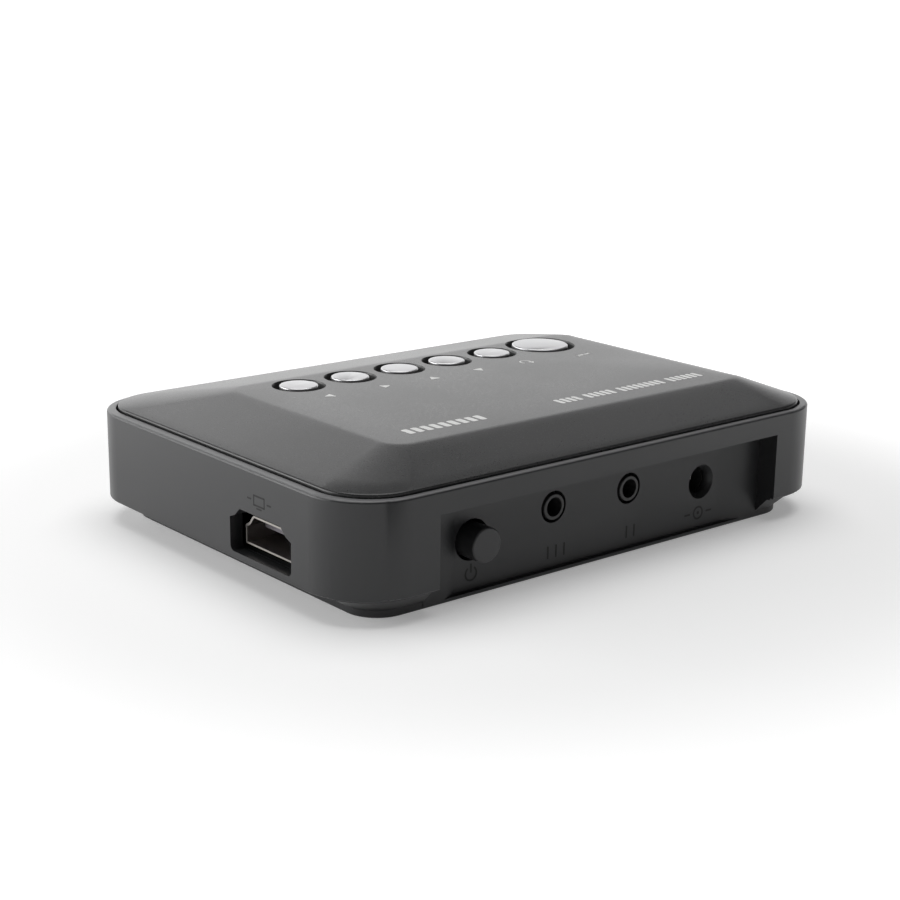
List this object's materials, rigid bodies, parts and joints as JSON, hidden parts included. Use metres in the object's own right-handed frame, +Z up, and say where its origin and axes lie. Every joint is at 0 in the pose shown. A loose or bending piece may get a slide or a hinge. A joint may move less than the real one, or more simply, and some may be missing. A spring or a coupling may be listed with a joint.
{
  "type": "media player",
  "caption": "Small flat desk media player with a row of silver control keys on its bevelled top, a push power button and round sockets in a rear recess, and a display socket at one end.",
  "frame": {"origin": "middle of the footprint, on the plane that the base rests on", "axes": "+Z up, +X along the length towards the display socket, +Y towards the side with the round sockets"},
  "size_m": [0.12, 0.088, 0.0255],
  "materials": {
    "frame_plastic": "fine matte",
    "cover_paint": "matte with a fine metallic speckle",
    "base_plastic": "fine matte",
    "key_silver": "satin silver plating",
    "power_key_plastic": "satin",
    "screw_steel": "zinc plated",
    "switch_plastic": "moulded",
    "plunger_plastic": "moulded",
    "jack_plastic": "moulded",
    "pin_metal": "nickel plated",
    "shell_steel": "bright tin plating",
    "insulator_plastic": "moulded",
    "circuit_board": "solder mask over fibreglass",
    "chip_epoxy": "moulded epoxy",
    "sink_aluminium": "extruded, natural",
    "can_metal": "drawn can",
    "coil_ferrite": "pressed powder",
    "ribbon_film": "white film",
    "window_acrylic": "dark tinted acrylic",
    "receiver_epoxy": "dark epoxy",
    "led_epoxy": "clear epoxy"
  },
  "bodies": {
    "casing": {"side_frame": "frame_plastic", "top_cover": "cover_paint", "bottom_cover": "base_plastic", "case_screws": "screw_steel", "key_board_screws": "screw_steel", "main_board_screws": "screw_steel", "key_switch_bodies": "switch_plastic", "power_switch_body": "switch_plastic", "stereo_jack_a": "jack_plastic", "stereo_jack_b": "jack_plastic", "dc_jack_body": "jack_plastic", "dc_jack_pin": "pin_metal", "display_socket_shell": "shell_steel", "usb_socket_shell": "shell_steel", "card_socket_shell": "shell_steel", "display_socket_tongue": "insulator_plastic", "usb_socket_tongue": "insulator_plastic", "card_socket_base": "insulator_plastic", "ribbon_sockets": "insulator_plastic", "main_board": "circuit_board", "key_board": "circuit_board", "processor": "chip_epoxy", "memory_chips": "chip_epoxy", "flash_chip": "chip_epoxy", "heat_sink": "sink_aluminium", "clock_crystal": "can_metal", "capacitors": "can_metal", "power_coils": "coil_ferrite", "ribbon_cable": "ribbon_film", "ir_window": "window_acrylic", "ir_receiver": "receiver_epoxy", "status_led": "led_epoxy"},
    "key_1": {"key_cap_1": "key_silver", "switch_plunger_1": "plunger_plastic"},
    "key_2": {"key_cap_2": "key_silver", "switch_plunger_2": "plunger_plastic"},
    "key_3": {"key_cap_3": "key_silver", "switch_plunger_3": "plunger_plastic"},
    "key_4": {"key_cap_4": "key_silver", "switch_plunger_4": "plunger_plastic"},
    "key_5": {"key_cap_5": "key_silver", "switch_plunger_5": "plunger_plastic"},
    "key_6": {"key_cap_6": "key_silver", "switch_plunger_6": "plunger_plastic"},
    "power_button": {"power_key": "power_key_plastic", "power_switch_stem": "plunger_plastic"}
  },
  "joints": [
    {"name": "key_press_1", "type": "slide", "parent": "casing", "child": "key_1", "axis": [0, 0, -1], "range_m": [0, 0.0003], "stiffness_N_per_m": 1500},
    {"name": "key_press_2", "type": "slide", "parent": "casing", "child": "key_2", "axis": [0, 0, -1], "range_m": [0, 0.0003], "stiffness_N_per_m": 1500},
    {"name": "key_press_3", "type": "slide", "parent": "casing", "child": "key_3", "axis": [0, 0, -1], "range_m": [0, 0.0003], "stiffness_N_per_m": 1500},
    {"name": "key_press_4", "type": "slide", "parent": "casing", "child": "key_4", "axis": [0, 0, -1], "range_m": [0, 0.0003], "stiffness_N_per_m": 1500},
    {"name": "key_press_5", "type": "slide", "parent": "casing", "child": "key_5", "axis": [0, 0, -1], "range_m": [0, 0.0003], "stiffness_N_per_m": 1500},
    {"name": "key_press_6", "type": "slide", "parent": "casing", "child": "key_6", "axis": [0, 0, -1], "range_m": [0, 0.0003], "stiffness_N_per_m": 1500},
    {"name": "power_press", "type": "slide", "parent": "casing", "child": "power_button", "axis": [0, -1, 0], "range_m": [0, 0.002], "stiffness_N_per_m": 800}
  ]
}
